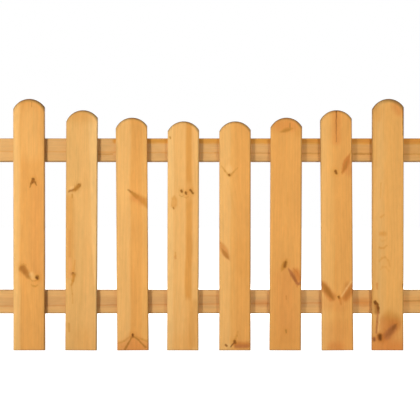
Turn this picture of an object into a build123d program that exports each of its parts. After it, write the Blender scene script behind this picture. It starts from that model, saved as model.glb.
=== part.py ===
from build123d import *
import os
from math import radians, sqrt, tan

# A dipped picket fence panel in planed softwood, with no posts.
# Upright boards with round heads are screwed from behind to two rails, and the rails run on
# past the outer boards so that their ends can be fixed to posts. The heads follow an arc
# that is lowest in the middle of the panel.
# X runs along the panel, the boards face -Y and Z is up. The origin is the middle of the
# lower rail's back face, one of the two faces that lie against the posts. Millimetres.

# Pickets
picket_count = 8
picket_width = 100.0
picket_thickness = 20.0
picket_gap = 63.0
picket_edge_radius = 3.0
head_radius = 57.0
shoulder_radius = 10.0

# Line of the heads, as heights above the pickets' feet
outer_height = 800.0
head_dip = 73.0

# Rails, with the heights of their middles above the pickets' feet
rail_height = 75.0
rail_thickness = 35.0
rail_edge_radius = 3.0
rail_end_chamfer = 1.0
rail_overhang = 60.0
lower_rail_level = 153.0
upper_rail_level = 638.0

# Countersunk holes for the screws, two across each crossing on a diagonal
screw_hole_diameter = 4.5
screw_head_diameter = 9.0
countersink_angle = 90.0
screw_inset_from_picket_edge = 24.0
screw_inset_from_rail_edge = 20.0

# The scatter of a panel that is put together by hand, from left to right: how far each board
# stands off its even place, how far its head leans to +X in degrees, and how far the round of
# its head is cut off the board's middle, as a share of what the head's radius is beyond half the
# board's width
picket_shifts = (-2.0, 2.0, 0.0, -0.5, 1.5, 0.5, -0.5, -1.0)
picket_leans = (-0.07, 0.24, -0.38, 0.17, 0.04, 0.29, -0.40, 0.09)
head_shifts = (3 / 14, 1 / 2, 2 / 7, 1 / 7, 1 / 7, 1 / 14, 1 / 7, 2 / 7)

# Places that follow from the sizes above
picket_pitch = picket_width + picket_gap
outer_picket_x = picket_pitch * (picket_count - 1) / 2
rail_length = 2 * outer_picket_x + picket_width + 2 * rail_overhang
foot_z = -lower_rail_level
rail_levels = {"lower_rail": lower_rail_level, "upper_rail": upper_rail_level}
lean_pivot_z = foot_z + (lower_rail_level + upper_rail_level) / 2
dip_radius = (outer_picket_x**2 + head_dip**2) / (2 * head_dip)


def even_x(index):
    """Where the middle of a picket would be in an evenly spaced row."""
    return index * picket_pitch - outer_picket_x


def lean_of(index):
    """How far a picket's head leans to +X, in degrees."""
    return picket_leans[index % len(picket_leans)]


def middle_x(index, z):
    """The middle of a picket's width at a height, with its shift and its lean."""
    shift = picket_shifts[index % len(picket_shifts)]
    return even_x(index) + shift + (z - lean_pivot_z) * tan(radians(lean_of(index)))


def picket_length(index):
    """A picket's length from its foot to the arc that the heads follow."""
    rise = dip_radius - sqrt(dip_radius**2 - even_x(index) ** 2)
    return outer_height - head_dip + rise


def head_shift_of(index):
    """How far the round of a picket's head is off the picket's middle, to +X."""
    return head_shifts[index % len(head_shifts)] * (head_radius - picket_width / 2)


def shoulder_height(length, from_centre):
    """How high the round of a head meets a side that is a given distance from its centre."""
    return length - head_radius + sqrt(head_radius**2 - from_centre**2)


def picket_outline(length, head_x):
    """A picket's front outline, with its foot on X and its round head up."""
    half = picket_width / 2
    left = (-half, shoulder_height(length, half + head_x))
    right = (half, shoulder_height(length, half - head_x))
    with BuildSketch(Plane.XZ) as outline:
        with BuildLine():
            Polyline(left, (-half, 0), (half, 0), right)
            ThreePointArc(left, (head_x, length), right)
        make_face()
        fillet(outline.vertices().filter_by(lambda corner: corner.Z > length / 2), shoulder_radius)
    return outline.sketch


def picket(index):
    """One board, with all edges of its faces eased but those at its sawn foot."""
    with BuildPart() as board:
        outline = picket_outline(picket_length(index), head_shift_of(index))
        add(extrude(outline, picket_thickness))
        faces = board.faces().filter_by(Axis.Y)
        eased = faces.edges().filter_by(lambda edge: edge.center().Z > picket_edge_radius)
        fillet(eased, picket_edge_radius)
    place = Pos(middle_x(index, lean_pivot_z), -rail_thickness, lean_pivot_z)
    return place * Rot(Y=lean_of(index)) * Pos(Z=foot_z - lean_pivot_z) * board.part


def screw_places(rail_z):
    """Where the screws enter a rail's back face, as (x, z): two for each picket."""
    across = picket_width / 2 - screw_inset_from_picket_edge
    up = rail_height / 2 - screw_inset_from_rail_edge
    return [
        (middle_x(index, rail_z) + side * across, rail_z + side * up)
        for index in range(picket_count)
        for side in (-1, 1)
    ]


def rail(level):
    """One rail, with eased long edges, sawn ends and countersunk holes from behind."""
    rail_z = foot_z + level
    with BuildPart() as bar:
        with Locations((0, 0, rail_z)):
            Box(rail_length, rail_thickness, rail_height, align=(Align.CENTER, Align.MAX, Align.CENTER))
        fillet(bar.edges().filter_by(Axis.X), rail_edge_radius)
        ends = bar.faces().filter_by(Axis.X)
        chamfer(ends.edges(), rail_end_chamfer)
        holes = [Location((x, 0, z), (-90, 0, 0)) for x, z in screw_places(rail_z)]
        with Locations(*holes):
            CounterSinkHole(
                screw_hole_diameter / 2,
                screw_head_diameter / 2,
                depth=rail_thickness,
                counter_sink_angle=countersink_angle,
            )
    return bar.part


os.makedirs("parts", exist_ok=True)

for index in range(picket_count):
    export_step(picket(index), f"parts/picket_{index + 1}.step")

for name, level in rail_levels.items():
    export_step(rail(level), f"parts/{name}.step")
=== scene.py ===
"""Looks of a dipped picket fence panel: stained softwood boards and rails, screws and cracks.

Everything is in metres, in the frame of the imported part: X along the panel, the boards face -Y,
Z up. Sizes inside a piece of timber are in millimetres, measured from its own middle and end.
"""

import logging
import math
from collections.abc import Callable
from dataclasses import dataclass
from enum import Enum

import bmesh
import bpy
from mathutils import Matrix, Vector


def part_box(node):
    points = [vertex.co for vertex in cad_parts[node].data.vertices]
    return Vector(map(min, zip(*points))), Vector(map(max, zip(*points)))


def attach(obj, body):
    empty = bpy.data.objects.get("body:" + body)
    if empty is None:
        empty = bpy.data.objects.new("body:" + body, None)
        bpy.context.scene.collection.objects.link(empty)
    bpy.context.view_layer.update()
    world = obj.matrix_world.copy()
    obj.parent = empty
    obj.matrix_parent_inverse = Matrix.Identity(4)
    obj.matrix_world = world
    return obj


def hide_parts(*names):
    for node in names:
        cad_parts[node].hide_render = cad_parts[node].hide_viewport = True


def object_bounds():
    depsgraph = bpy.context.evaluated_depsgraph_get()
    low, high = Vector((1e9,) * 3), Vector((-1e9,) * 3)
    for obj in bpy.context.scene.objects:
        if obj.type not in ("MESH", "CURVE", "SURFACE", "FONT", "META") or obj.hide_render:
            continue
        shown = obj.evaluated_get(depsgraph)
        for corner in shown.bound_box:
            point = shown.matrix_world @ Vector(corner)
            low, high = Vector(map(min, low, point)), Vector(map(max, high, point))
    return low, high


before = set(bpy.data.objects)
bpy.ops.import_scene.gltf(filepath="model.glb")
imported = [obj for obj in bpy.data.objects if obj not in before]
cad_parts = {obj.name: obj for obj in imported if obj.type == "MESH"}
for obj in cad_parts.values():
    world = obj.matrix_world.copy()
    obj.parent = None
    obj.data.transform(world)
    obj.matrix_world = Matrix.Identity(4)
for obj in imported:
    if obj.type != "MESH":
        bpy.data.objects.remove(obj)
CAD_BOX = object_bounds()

MM = 0.001
NEAR = 0.01 * MM

# The photo's frame: its size and scale, and where the panel's middle and feet are in it
IMAGE_SIZE = 420
MM_PER_PIXEL = 3.18
CENTRE_PIXEL_X = 208.9
FOOT_PIXEL_Y = 350.5

log = logging.getLogger("fence panel")

Colour = tuple[float, float, float, float]
Spot = tuple[float, float]
Socket = bpy.types.NodeSocket

WHITE: Colour = (1.0, 1.0, 1.0, 1.0)

# Vectors that keep a timber's face or its cross-section, and the middle of a noise's range
FACE_PLANE = (1.0, 0.0, 1.0)
CROSS_SECTION = (1.0, 1.0, 0.0)
MIDDLE = (0.5, 0.5, 0.5)


@dataclass(frozen=True)
class Noise:
    """How a noise looks: how fine it is along each axis, how much detail it has and how rough it is."""

    fineness: tuple[float, float, float]
    detail: float = 2.0
    roughness: float = 0.5


# How a mark tapers, parts the grain and colours the wood round it, with reaches as shares of its radius
POINT_SHARPNESS = 1.8
LEAF_POINT = 0.9
KNOT_TAPER = 0.8
CLOUD_SOFTNESS = 0.8
PARTING = 0.62
PARTING_REACH = 2.4
HALO_REACH = 1.7
HALO_TINT: Colour = (0.90, 0.78, 0.52, 1.0)
HALO_DEPTH = 0.5
HEART_REACH = 0.6
HEART_SHADE = 0.62
HEART_DEPTH = 0.75
HEART_RING_RATE = 3.1
HEART_RING_DEPTH = 0.18

# What is added to a reach, and to a mark's run so that it is never nothing, in mm
REACH_MARGIN = 3.0
LEAST_RUN = 0.01

# The wood's layers and the ragged edges of its marks: across the board, in depth and along it, per mm
WANDER = Noise((0.012, 0.012, 0.0032), 1.5)
RAGGED = Noise((0.15, 0.15, 0.08), 4.0, 0.62)
LAYERS = {
    "Fibre": Noise((1.1, 1.1, 0.02), 3.0, 0.6),
    "Cloud": Noise((0.03, 0.03, 0.006)),
    "Streaks": Noise((0.28, 0.28, 0.004)),
    "Mottle": Noise((0.10, 0.10, 0.035), 2.5, 0.6),
}

# How much each layer lightens and darkens the wood
UNEVENNESS = {"Cloud": 0.22, "Streaks": 0.17, "Fibre": 0.15, "Mottle": 0.16}

# How far apart two timbers' patterns lie, in mm per unit of seed
GRAIN_SPREAD = (137.0, 59.0, 411.0)
RAGGED_SPREAD = (31.0, 0.0, 77.0)

# How the growth rings run: their cone up the tree, how uneven the years are and each ring's profile
RING_CONE = 0.012
YEAR_RATE = 0.45
YEAR_SPREAD = 1.6
SEASON_SHARPNESS = 2.6
SEASON_END = 0.9

# What the stain's colour is multiplied by where it takes more, and where shade is painted on edges and ends
LATEWOOD_TINT: Colour = (0.86, 0.72, 0.55, 1.0)
EASED_TINT: Colour = (0.34, 0.38, 0.42, 1.0)
SAWN_TINT: Colour = (0.25, 0.20, 0.16, 1.0)

# Reaches in mm: of the darkening up from the foot, of a band's waver, and of the full dark along an edge
FOOT_DARKENING_HEIGHT = 5.0
BAND_WAVE = 14.0
EDGE_LINE = 1.0

# The left edge's dark, as shares of the right edge's
LEFT_EDGE_WIDTH = 0.6
LEFT_EDGE_SOAK = 0.4

# The head's pale side as a share of its dark side, and where they end, as shares of half the width
# Painted shade: the head's dark side is its right one, as if lit from the left
PALE_RIM = 0.45
PALE_RIM_END = -0.8
DARK_RIM_START = 0.3

# How square to the grain a face is where it begins to darken, and where it is wholly end grain
SAWN_START = 0.04
SAWN_END = 0.42

# How the relief and the satin follow the grain
FIBRE_RELIEF = 0.5
KNOT_RELIEF = -0.8
RELIEF_STRENGTH = 0.8
SATIN_SPREAD = 0.2


def linear(red: int, green: int, blue: int) -> Colour:
    """Turns a colour of 0 to 255 a channel into the linear values that a node takes.

    Args:
        red: the red channel.
        green: the green channel.
        blue: the blue channel.

    Returns:
        The linear colour, opaque.
    """
    channels = []
    for value in (red, green, blue):
        share = value / 255
        channels.append(share / 12.92 if share <= 0.04045 else ((share + 0.055) / 1.055) ** 2.4)
    return (*channels, 1.0)


class Tone(Enum):
    """The tones of stained softwood, from pale sapwood to the bark in a knot."""

    PALE = linear(243, 191, 118)
    STRAW = linear(237, 180, 105)
    WHEAT = linear(231, 176, 102)
    HONEY = linear(233, 171, 92)
    PEACH = linear(240, 172, 102)
    AMBER = linear(230, 164, 85)
    MARIGOLD = linear(226, 156, 62)
    GOLD = linear(222, 155, 75)
    RUDDY = linear(217, 142, 71)
    FOXY = linear(219, 132, 60)
    TAN = linear(227, 175, 109)
    DUN = linear(216, 165, 103)
    BRONZE = linear(204, 138, 57)
    RUSSET = linear(203, 122, 52)
    UMBER = linear(184, 112, 60)
    CLAY = linear(182, 118, 50)
    HAZEL = linear(164, 98, 46)
    KNOT = linear(162, 98, 32)
    BARK = linear(134, 77, 23)


class MarkKind(Enum):
    """What a mark in the wood is, which decides how the grain runs by it."""

    KNOT = "the grain parts round it"
    STREAK = "it lies along or across the grain"
    CLOUD = "a wide patch with no edge"


@dataclass(frozen=True)
class Mark:
    """A knot, a streak or a patch: a soft-edged bar from one place in the board to another.

    Places are in mm across the board from its middle and up from its foot. Radii and softness, which
    is how far the edge fades, are in mm. Depth is how fully its tone covers the wood, and point is
    how far its ends narrow.
    """

    kind: MarkKind
    start: Spot
    end: Spot
    tone: Tone
    start_radius: float
    end_radius: float
    depth: float
    softness: float
    point: float = 0.0


Cover = list[tuple[Mark, bpy.types.Node]]


def knot(
    start: Spot, end: Spot, radius: float, tone: Tone, depth: float = 0.95, softness: float = 2.0
) -> Mark:
    """Describes a knot from one end of its middle line to the other, a little narrower at its end."""
    return Mark(MarkKind.KNOT, start, end, tone, radius, radius * KNOT_TAPER, depth, softness)


def streak(
    start: Spot,
    end: Spot,
    widths: tuple[float, float],
    tone: Tone,
    depth: float = 0.8,
    softness: float = 2.2,
) -> Mark:
    """Describes a streak, with half its width at its start and at its end."""
    return Mark(MarkKind.STREAK, start, end, tone, widths[0], widths[1], depth, softness)


def leaf(
    start: Spot, end: Spot, radius: float, tone: Tone, depth: float = 0.85, softness: float = 4.0
) -> Mark:
    """Describes a leaf-shaped streak, widest in its middle and pointed at both ends."""
    return Mark(MarkKind.STREAK, start, end, tone, radius, radius, depth, softness, LEAF_POINT)


def trail(
    spots: tuple[Spot, ...],
    widths: tuple[float, float],
    tone: Tone,
    depth: float = 0.8,
    softness: float = 2.2,
) -> tuple[Mark, ...]:
    """Describes a curved streak, as one straight streak from each of its places to the next.

    Args:
        spots: the places it runs through, in mm across and up the board.
        widths: half its width at its first and at its last place, in mm.
        tone: its colour.
        depth: how fully its colour covers the wood.
        softness: how far its edge fades, in mm.

    Returns:
        The streaks.
    """
    steps = len(spots) - 1
    growth = (widths[1] - widths[0]) / steps
    streaks = []
    for step in range(steps):
        ends = (widths[0] + growth * step, widths[0] + growth * (step + 1))
        streaks.append(streak(spots[step], spots[step + 1], ends, tone, depth, softness))
    return tuple(streaks)


def cloud(start: Spot, end: Spot, radius: float, tone: Tone, depth: float = 0.6) -> Mark:
    """Describes a wide patch of another tone that fades out at its edge."""
    return Mark(MarkKind.CLOUD, start, end, tone, radius, radius, depth, radius * CLOUD_SOFTNESS)


class Graph:
    """Adds nodes to one node tree, each with its inputs set or linked."""

    def __init__(self, tree: bpy.types.NodeTree) -> None:
        """Starts on the node tree of a material, a group or the surroundings."""
        self.tree = tree

    def feed(self, socket: Socket, value: object) -> None:
        """Links an output to a socket, or sets the socket's own value.

        Args:
            socket: the input socket.
            value: an output socket, a number, a vector or a colour.
        """
        if isinstance(value, Socket):
            self.tree.links.new(value, socket)
        else:
            socket.default_value = value

    def add(self, kind: str, inputs: dict | None = None, **settings: object) -> bpy.types.Node:
        """Adds a node.

        Args:
            kind: its type, such as ShaderNodeMath.
            inputs: the values or outputs for its inputs, by name or number.
            settings: the node's own settings.

        Returns:
            The node.
        """
        node = self.tree.nodes.new(kind)
        for name, value in settings.items():
            setattr(node, name, value)
        for key, value in (inputs or {}).items():
            self.feed(node.inputs[key], value)
        return node

    def math(self, operation: str, *values: object, clamp: bool = False) -> Socket:
        """Adds a sum on numbers and returns its result."""
        inputs = dict(enumerate(values))
        return self.add("ShaderNodeMath", inputs, operation=operation, use_clamp=clamp).outputs[0]

    def vector(self, operation: str, *values: object) -> Socket:
        """Adds a sum on vectors and returns its result, a vector."""
        inputs = dict(enumerate(values))
        return self.add("ShaderNodeVectorMath", inputs, operation=operation).outputs["Vector"]

    def measure(self, operation: str, *values: object) -> Socket:
        """Adds a sum on vectors and returns its result, a number."""
        inputs = dict(enumerate(values))
        return self.add("ShaderNodeVectorMath", inputs, operation=operation).outputs["Value"]

    def scale(self, vector: object, amount: object) -> Socket:
        """Returns a vector or a colour times a number."""
        node = self.add("ShaderNodeVectorMath", {0: vector, "Scale": amount}, operation="SCALE")
        return node.outputs[0]

    def mix(self, amount: object, first: object, second: object) -> Socket:
        """Returns a mix of two colours."""
        return self.add("ShaderNodeMix", {0: amount, 6: first, 7: second}, data_type="RGBA").outputs[2]

    def tint(self, colour: object, tint: Colour) -> Socket:
        """Returns a colour times a tint, channel by channel."""
        inputs = {0: 1.0, 6: colour, 7: tint}
        return self.add("ShaderNodeMix", inputs, data_type="RGBA", blend_type="MULTIPLY").outputs[2]

    def span(
        self, value: object, low: object, high: object, to_low: float = 0.0, to_high: float = 1.0
    ) -> Socket:
        """Returns a smooth step between two values."""
        inputs = {"Value": value, "From Min": low, "From Max": high, "To Min": to_low, "To Max": to_high}
        return self.add("ShaderNodeMapRange", inputs, interpolation_type="SMOOTHSTEP").outputs[0]

    def hump(self, distance: object, width: object) -> Socket:
        """Returns a round hump, 1 at no distance and about a third at a distance of its width."""
        squared = self.math("POWER", self.math("DIVIDE", distance, width), 2.0)
        return self.math("EXPONENT", self.math("MULTIPLY", squared, -1.0))

    def noise(self, place: object, noise: Noise) -> bpy.types.Node:
        """Adds a noise texture.

        Args:
            place: the place it is read at.
            noise: how it looks.

        Returns:
            Its node.
        """
        fine = self.vector("MULTIPLY", place, noise.fineness)
        inputs = {"Vector": fine, "Scale": 1.0, "Detail": noise.detail, "Roughness": noise.roughness}
        return self.add("ShaderNodeTexNoise", inputs)

    def group(
        self, name: str, make: Callable[[str], bpy.types.NodeTree], inputs: dict
    ) -> bpy.types.Node:
        """Adds a group, which is made when it is first asked for."""
        tree = bpy.data.node_groups.get(name) or make(name)
        return self.add("ShaderNodeGroup", inputs, node_tree=tree)

    def show(self, shader: bpy.types.Node, kind: str = "ShaderNodeOutputMaterial") -> None:
        """Feeds a shader to the tree's output, so that it is the one that is seen."""
        self.add(kind, {"Surface": shader.outputs[0]})

    def ramp(self, value: object, stops: list[tuple[float, Colour]]) -> Socket:
        """Returns a colour that runs through the stops.

        Args:
            value: what the ramp is read at.
            stops: each stop's place from 0 to 1 and its colour.

        Returns:
            The colour.
        """
        node = self.add("ShaderNodeValToRGB", {0: value})
        elements = node.color_ramp.elements
        for place, colour in stops[2:]:
            elements.new(place).color = colour
        for element, (place, colour) in zip(elements, sorted(stops, key=lambda stop: stop[0])):
            element.position = place
            element.color = colour
        return node.outputs[0]


def empty_graph(owner: bpy.types.Material | bpy.types.World) -> Graph:
    """Starts the nodes of a material or of the surroundings afresh.

    Args:
        owner: the material or the surroundings.

    Returns:
        The graph, with no nodes yet.
    """
    owner.use_nodes = True
    owner.node_tree.nodes.clear()
    return Graph(owner.node_tree)


def new_group(name: str, inputs: dict[str, str], outputs: dict[str, str]) -> tuple[Graph, dict, dict]:
    """Starts a node group.

    Args:
        name: the group's name.
        inputs: the kind of each input socket, by name.
        outputs: the kind of each output socket, by name.

    Returns:
        The graph, the inputs to read inside it and the outputs to feed.
    """
    tree = bpy.data.node_groups.new(name, "ShaderNodeTree")
    for in_out, sockets in (("INPUT", inputs), ("OUTPUT", outputs)):
        for socket, kind in sockets.items():
            tree.interface.new_socket(socket, in_out=in_out, socket_type=f"NodeSocket{kind}")
    graph = Graph(tree)
    start = graph.add("NodeGroupInput")
    end = graph.add("NodeGroupOutput")
    return graph, start.outputs, end.inputs


def mark_group(name: str) -> bpy.types.NodeTree:
    """Makes the group that draws one mark: how fully it covers a place, and how it parts the grain.

    Args:
        name: the group's name.

    Returns:
        The group's tree.
    """
    inputs = {
        "Place": "Vector",
        "Start": "Vector",
        "Along": "Vector",
        "Start radius": "Float",
        "End radius": "Float",
        "Softness": "Float",
        "Point": "Float",
        "Parting": "Float",
    }
    outputs = {"Amount": "Float", "Shift": "Vector", "Halo": "Float", "Core": "Float"}
    graph, given, result = new_group(name, inputs, outputs)
    away = graph.vector("SUBTRACT", given["Place"], given["Start"])
    run = graph.measure("DOT_PRODUCT", given["Along"], given["Along"])
    reach = graph.measure("DOT_PRODUCT", away, given["Along"])
    share = graph.math("DIVIDE", reach, run, clamp=True)
    off = graph.vector("SUBTRACT", away, graph.scale(given["Along"], share))
    distance = graph.measure("LENGTH", off)
    taper = graph.math("SUBTRACT", given["End radius"], given["Start radius"])
    radius = graph.math("MULTIPLY_ADD", taper, share, given["Start radius"])
    from_middle = graph.math("ABSOLUTE", graph.math("MULTIPLY_ADD", share, 2.0, -1.0))
    narrowed = graph.math("MULTIPLY", graph.math("POWER", from_middle, POINT_SHARPNESS), given["Point"])
    radius = graph.math("MULTIPLY", radius, graph.math("SUBTRACT", 1.0, narrowed))
    outer = graph.math("ADD", radius, given["Softness"])
    inner = graph.math("SUBTRACT", radius, given["Softness"])
    graph.feed(result["Amount"], graph.span(distance, outer, inner))
    parted = graph.hump(distance, graph.math("MULTIPLY_ADD", radius, PARTING_REACH, REACH_MARGIN))
    pull = graph.math("MULTIPLY", parted, given["Parting"])
    graph.feed(result["Shift"], graph.scale(off, graph.math("MULTIPLY", pull, -1.0)))
    halo_width = graph.math("MULTIPLY_ADD", radius, HALO_REACH, REACH_MARGIN)
    graph.feed(result["Halo"], graph.hump(distance, halo_width))
    heart = graph.hump(distance, graph.math("MULTIPLY", radius, HEART_REACH))
    wave = graph.math("SINE", graph.math("MULTIPLY", distance, HEART_RING_RATE))
    rings = graph.math("MULTIPLY_ADD", wave, HEART_RING_DEPTH, HEART_RING_DEPTH)
    graph.feed(result["Core"], graph.math("ADD", heart, rings))
    return graph.tree


def knot_colour_group(name: str) -> bpy.types.NodeTree:
    """Makes the group that colours one knot: a golden halo in the wood, a heart darker than its rim.

    Args:
        name: the group's name.

    Returns:
        The group's tree.
    """
    inputs = {"Colour": "Color", "Tone": "Color", "Amount": "Float", "Halo": "Float", "Core": "Float"}
    graph, given, result = new_group(name, inputs, {"Colour": "Color"})
    golden = graph.tint(given["Colour"], HALO_TINT)
    wood = graph.mix(graph.math("MULTIPLY", given["Halo"], HALO_DEPTH), given["Colour"], golden)
    heart = graph.scale(given["Tone"], HEART_SHADE)
    heart_depth = graph.math("MULTIPLY", given["Core"], HEART_DEPTH, clamp=True)
    toned = graph.mix(heart_depth, given["Tone"], heart)
    graph.feed(result["Colour"], graph.mix(given["Amount"], wood, toned))
    return graph.tree


def grain_group(name: str) -> bpy.types.NodeTree:
    """Makes the group that draws growth rings about a pith line, with fibres and slow clouds.

    Args:
        name: the group's name.

    Returns:
        The group's tree.
    """
    inputs = {
        "Place": "Vector",
        "Pith": "Vector",
        "Ring width": "Float",
        "Wander": "Float",
        "Seed": "Vector",
    }
    outputs = dict.fromkeys(("Latewood", "Fibre", "Cloud", "Streaks", "Mottle"), "Float")
    graph, given, result = new_group(name, inputs, outputs)
    seeded = graph.vector("ADD", given["Place"], given["Seed"])
    slow = graph.noise(seeded, WANDER)
    lean = graph.vector("SUBTRACT", slow.outputs["Color"], MIDDLE)
    wandered = graph.vector("ADD", given["Place"], graph.scale(lean, given["Wander"]))
    from_pith = graph.vector("SUBTRACT", wandered, given["Pith"])
    from_pith = graph.vector("MULTIPLY", from_pith, CROSS_SECTION)
    radius = graph.measure("LENGTH", from_pith)
    height = graph.add("ShaderNodeSeparateXYZ", {0: given["Place"]}).outputs["Z"]
    grown = graph.math("MULTIPLY_ADD", height, RING_CONE, radius)
    years = graph.math("DIVIDE", grown, given["Ring width"])
    settings = {"W": years, "Scale": YEAR_RATE, "Detail": 1.0}
    uneven = graph.add("ShaderNodeTexNoise", settings, noise_dimensions="1D")
    years = graph.math("MULTIPLY_ADD", uneven.outputs[0], YEAR_SPREAD, years)
    season = graph.math("FRACT", years)
    rise = graph.math("POWER", season, SEASON_SHARPNESS)
    late = graph.math("MULTIPLY", rise, graph.span(season, 1.0, SEASON_END))
    graph.feed(result["Latewood"], late)
    for layer, noise in LAYERS.items():
        graph.feed(result[layer], graph.noise(seeded, noise).outputs[0])
    return graph.tree


@dataclass(frozen=True)
class Timber:
    """The finish of one board or rail: its own grain, tones and marks under a honey stain.

    Bands are places across the timber from its middle, each with its tone. The pith, around which the
    rings run, is a place across and in depth. Sizes are in mm, and darkenings, shades and depths are shares.
    Part of the dark on the right edge and on the head's rim is painted shade.
    """

    bands: tuple[tuple[float, Tone], ...]
    marks: tuple[Mark, ...] = ()
    pith: Spot = (4.0, 34.0)
    ring_width: float = 5.6
    wander: float = 20.0
    slant: float = 0.0
    seed: float = 0.0
    shade: float = 1.0
    foot_shade: float = 0.95
    head_shade: float = 1.02
    foot_darkening: float = 0.5
    rim: float = 0.8
    edge_stain_shade: float = 0.55
    edge_width: float = 6.5
    head_stain_shade_reach: float = 10.0
    round_headed: bool = True
    head_roundness: float = 0.57
    ring_depth: float = 0.24
    raggedness: float = 6.0
    roughness: float = 0.74
    gloss: float = 0.12
    relief: float = 0.12

    def material(
        self, name: str, width: float, length: float, origin: Vector, turn: float
    ) -> bpy.types.Material:
        """Makes the material of one piece of timber.

        Args:
            name: the material's name.
            width: the timber's width across its face, in mm.
            length: its length along the grain, in mm.
            origin: the middle of its lower or left end, in metres.
            turn: how far its grain is turned about Y from straight up, in radians.

        Returns:
            The material.
        """
        material = bpy.data.materials.new(name)
        graph = empty_graph(material)
        place = self._place(graph, origin, turn)
        cover, shift = self._cover(graph, place)
        grain_place = graph.vector("ADD", place, shift)
        values = {
            "Place": grain_place,
            "Pith": (*self.pith, 0.0),
            "Ring width": self.ring_width,
            "Wander": self.wander,
            "Seed": tuple(self.seed * spread for spread in GRAIN_SPREAD),
        }
        grain = graph.group("softwood grain", grain_group, values)
        colour = self._stained(graph, grain_place, grain, width, length)
        for mark, node in cover:
            colour = self._marked(graph, colour, mark, node)
        face = self._shaded(graph, colour, grain_place, grain, length)
        eased = self._edges(graph, face, place, width, length)
        colour = self._end_grain(graph, face, eased, turn)
        self._surface(graph, colour, grain, cover)
        return material

    def _place(self, graph: Graph, origin: Vector, turn: float) -> Socket:
        """Finds the place inside the timber.

        Args:
            graph: the material's graph.
            origin: the middle of the timber's lower or left end, in metres.
            turn: how far its grain is turned about Y from straight up, in radians.

        Returns:
            The place in mm: across, in depth and along the grain.
        """
        seen = graph.add("ShaderNodeTexCoord").outputs["Object"]
        inputs = {
            "Vector": seen,
            "Location": origin,
            "Rotation": (0.0, turn, 0.0),
            "Scale": (MM, MM, MM),
        }
        return graph.add("ShaderNodeMapping", inputs, vector_type="TEXTURE").outputs[0]

    def _cover(self, graph: Graph, place: Socket) -> tuple[Cover, object]:
        """Draws the marks.

        Args:
            graph: the material's graph.
            place: the place inside the timber.

        Returns:
            Each mark with its node, and how far they part the grain in all.
        """
        shifted = graph.vector("ADD", place, tuple(self.seed * spread for spread in RAGGED_SPREAD))
        ragged = graph.noise(shifted, RAGGED)
        off = graph.vector("SUBTRACT", ragged.outputs["Color"], MIDDLE)
        nudged = graph.vector("ADD", place, graph.scale(off, self.raggedness))
        face = graph.vector("MULTIPLY", nudged, FACE_PLANE)
        shift: object = (0.0, 0.0, 0.0)
        cover = []
        for mark in self.marks:
            parting = PARTING if mark.kind is MarkKind.KNOT else 0.0
            run = mark.end[0] - mark.start[0] + LEAST_RUN
            values = {
                "Place": face,
                "Start": (mark.start[0], 0.0, mark.start[1]),
                "Along": (run, 0.0, mark.end[1] - mark.start[1]),
                "Start radius": mark.start_radius,
                "End radius": mark.end_radius,
                "Softness": mark.softness,
                "Point": mark.point,
                "Parting": parting,
            }
            node = graph.group("mark in the wood", mark_group, values)
            cover.append((mark, node))
            if parting:
                shift = graph.vector("ADD", shift, node.outputs["Shift"])
        return cover, shift

    def _stained(
        self, graph: Graph, place: Socket, grain: bpy.types.Node, width: float, length: float
    ) -> Socket:
        """Draws the clear wood's tone bands, wavering and leaning with the grain.

        Args:
            graph: the material's graph.
            place: the place in the grain.
            grain: the grain's node.
            width: the timber's width, in mm.
            length: its length, in mm.

        Returns:
            The clear wood's colour.
        """
        parts = graph.add("ShaderNodeSeparateXYZ", {0: place})
        across, along = parts.outputs["X"], parts.outputs["Z"]
        wave = graph.math("MULTIPLY_ADD", grain.outputs["Cloud"], BAND_WAVE, -BAND_WAVE / 2)
        leaning = graph.math("MULTIPLY_ADD", along, self.slant, -self.slant * length / 2)
        band_place = graph.math("ADD", graph.math("ADD", across, wave), leaning)
        share = graph.math("MULTIPLY_ADD", band_place, 1 / width, 0.5)
        return graph.ramp(share, [(0.5 + edge / width, tone.value) for edge, tone in self.bands])

    def _marked(self, graph: Graph, colour: Socket, mark: Mark, node: bpy.types.Node) -> Socket:
        """Colours the wood with one mark.

        Args:
            graph: the material's graph.
            colour: the wood's colour so far.
            mark: the mark.
            node: its node.

        Returns:
            The colour with the mark.
        """
        amount = graph.math("MULTIPLY", node.outputs["Amount"], mark.depth)
        if mark.kind is not MarkKind.KNOT:
            return graph.mix(amount, colour, mark.tone.value)
        inputs = {
            "Colour": colour,
            "Tone": mark.tone.value,
            "Amount": amount,
            "Halo": node.outputs["Halo"],
            "Core": node.outputs["Core"],
        }
        return graph.group("knot colour", knot_colour_group, inputs).outputs["Colour"]

    def _shaded(
        self, graph: Graph, colour: Socket, place: Socket, grain: bpy.types.Node, length: float
    ) -> Socket:
        """Shades the colour along the timber, and with its clouds, fibres and rings.

        Args:
            graph: the material's graph.
            colour: the colour, marks and all.
            place: the place in the grain.
            grain: the grain's node.
            length: the timber's length, in mm.

        Returns:
            The face's colour.
        """
        along = graph.add("ShaderNodeSeparateXYZ", {0: place}).outputs["Z"]
        height = graph.math("DIVIDE", along, length)
        ends = (self.foot_shade * self.shade, self.head_shade * self.shade)
        shade = graph.span(height, 0.0, 1.0, *ends)
        # Darker towards the foot's end, over its last few mm
        foot_dark = graph.span(along, 0.0, FOOT_DARKENING_HEIGHT, self.foot_darkening, 1.0)
        whole = graph.math("MULTIPLY", shade, foot_dark)
        for layer, depth in UNEVENNESS.items():
            uneven = graph.math("MULTIPLY_ADD", grain.outputs[layer], depth, 1.0 - depth / 2)
            whole = graph.math("MULTIPLY", whole, uneven)
        colour = graph.scale(colour, whole)
        amount = graph.math("MULTIPLY", grain.outputs["Latewood"], self.ring_depth)
        return graph.mix(amount, colour, graph.tint(colour, LATEWOOD_TINT))

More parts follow.
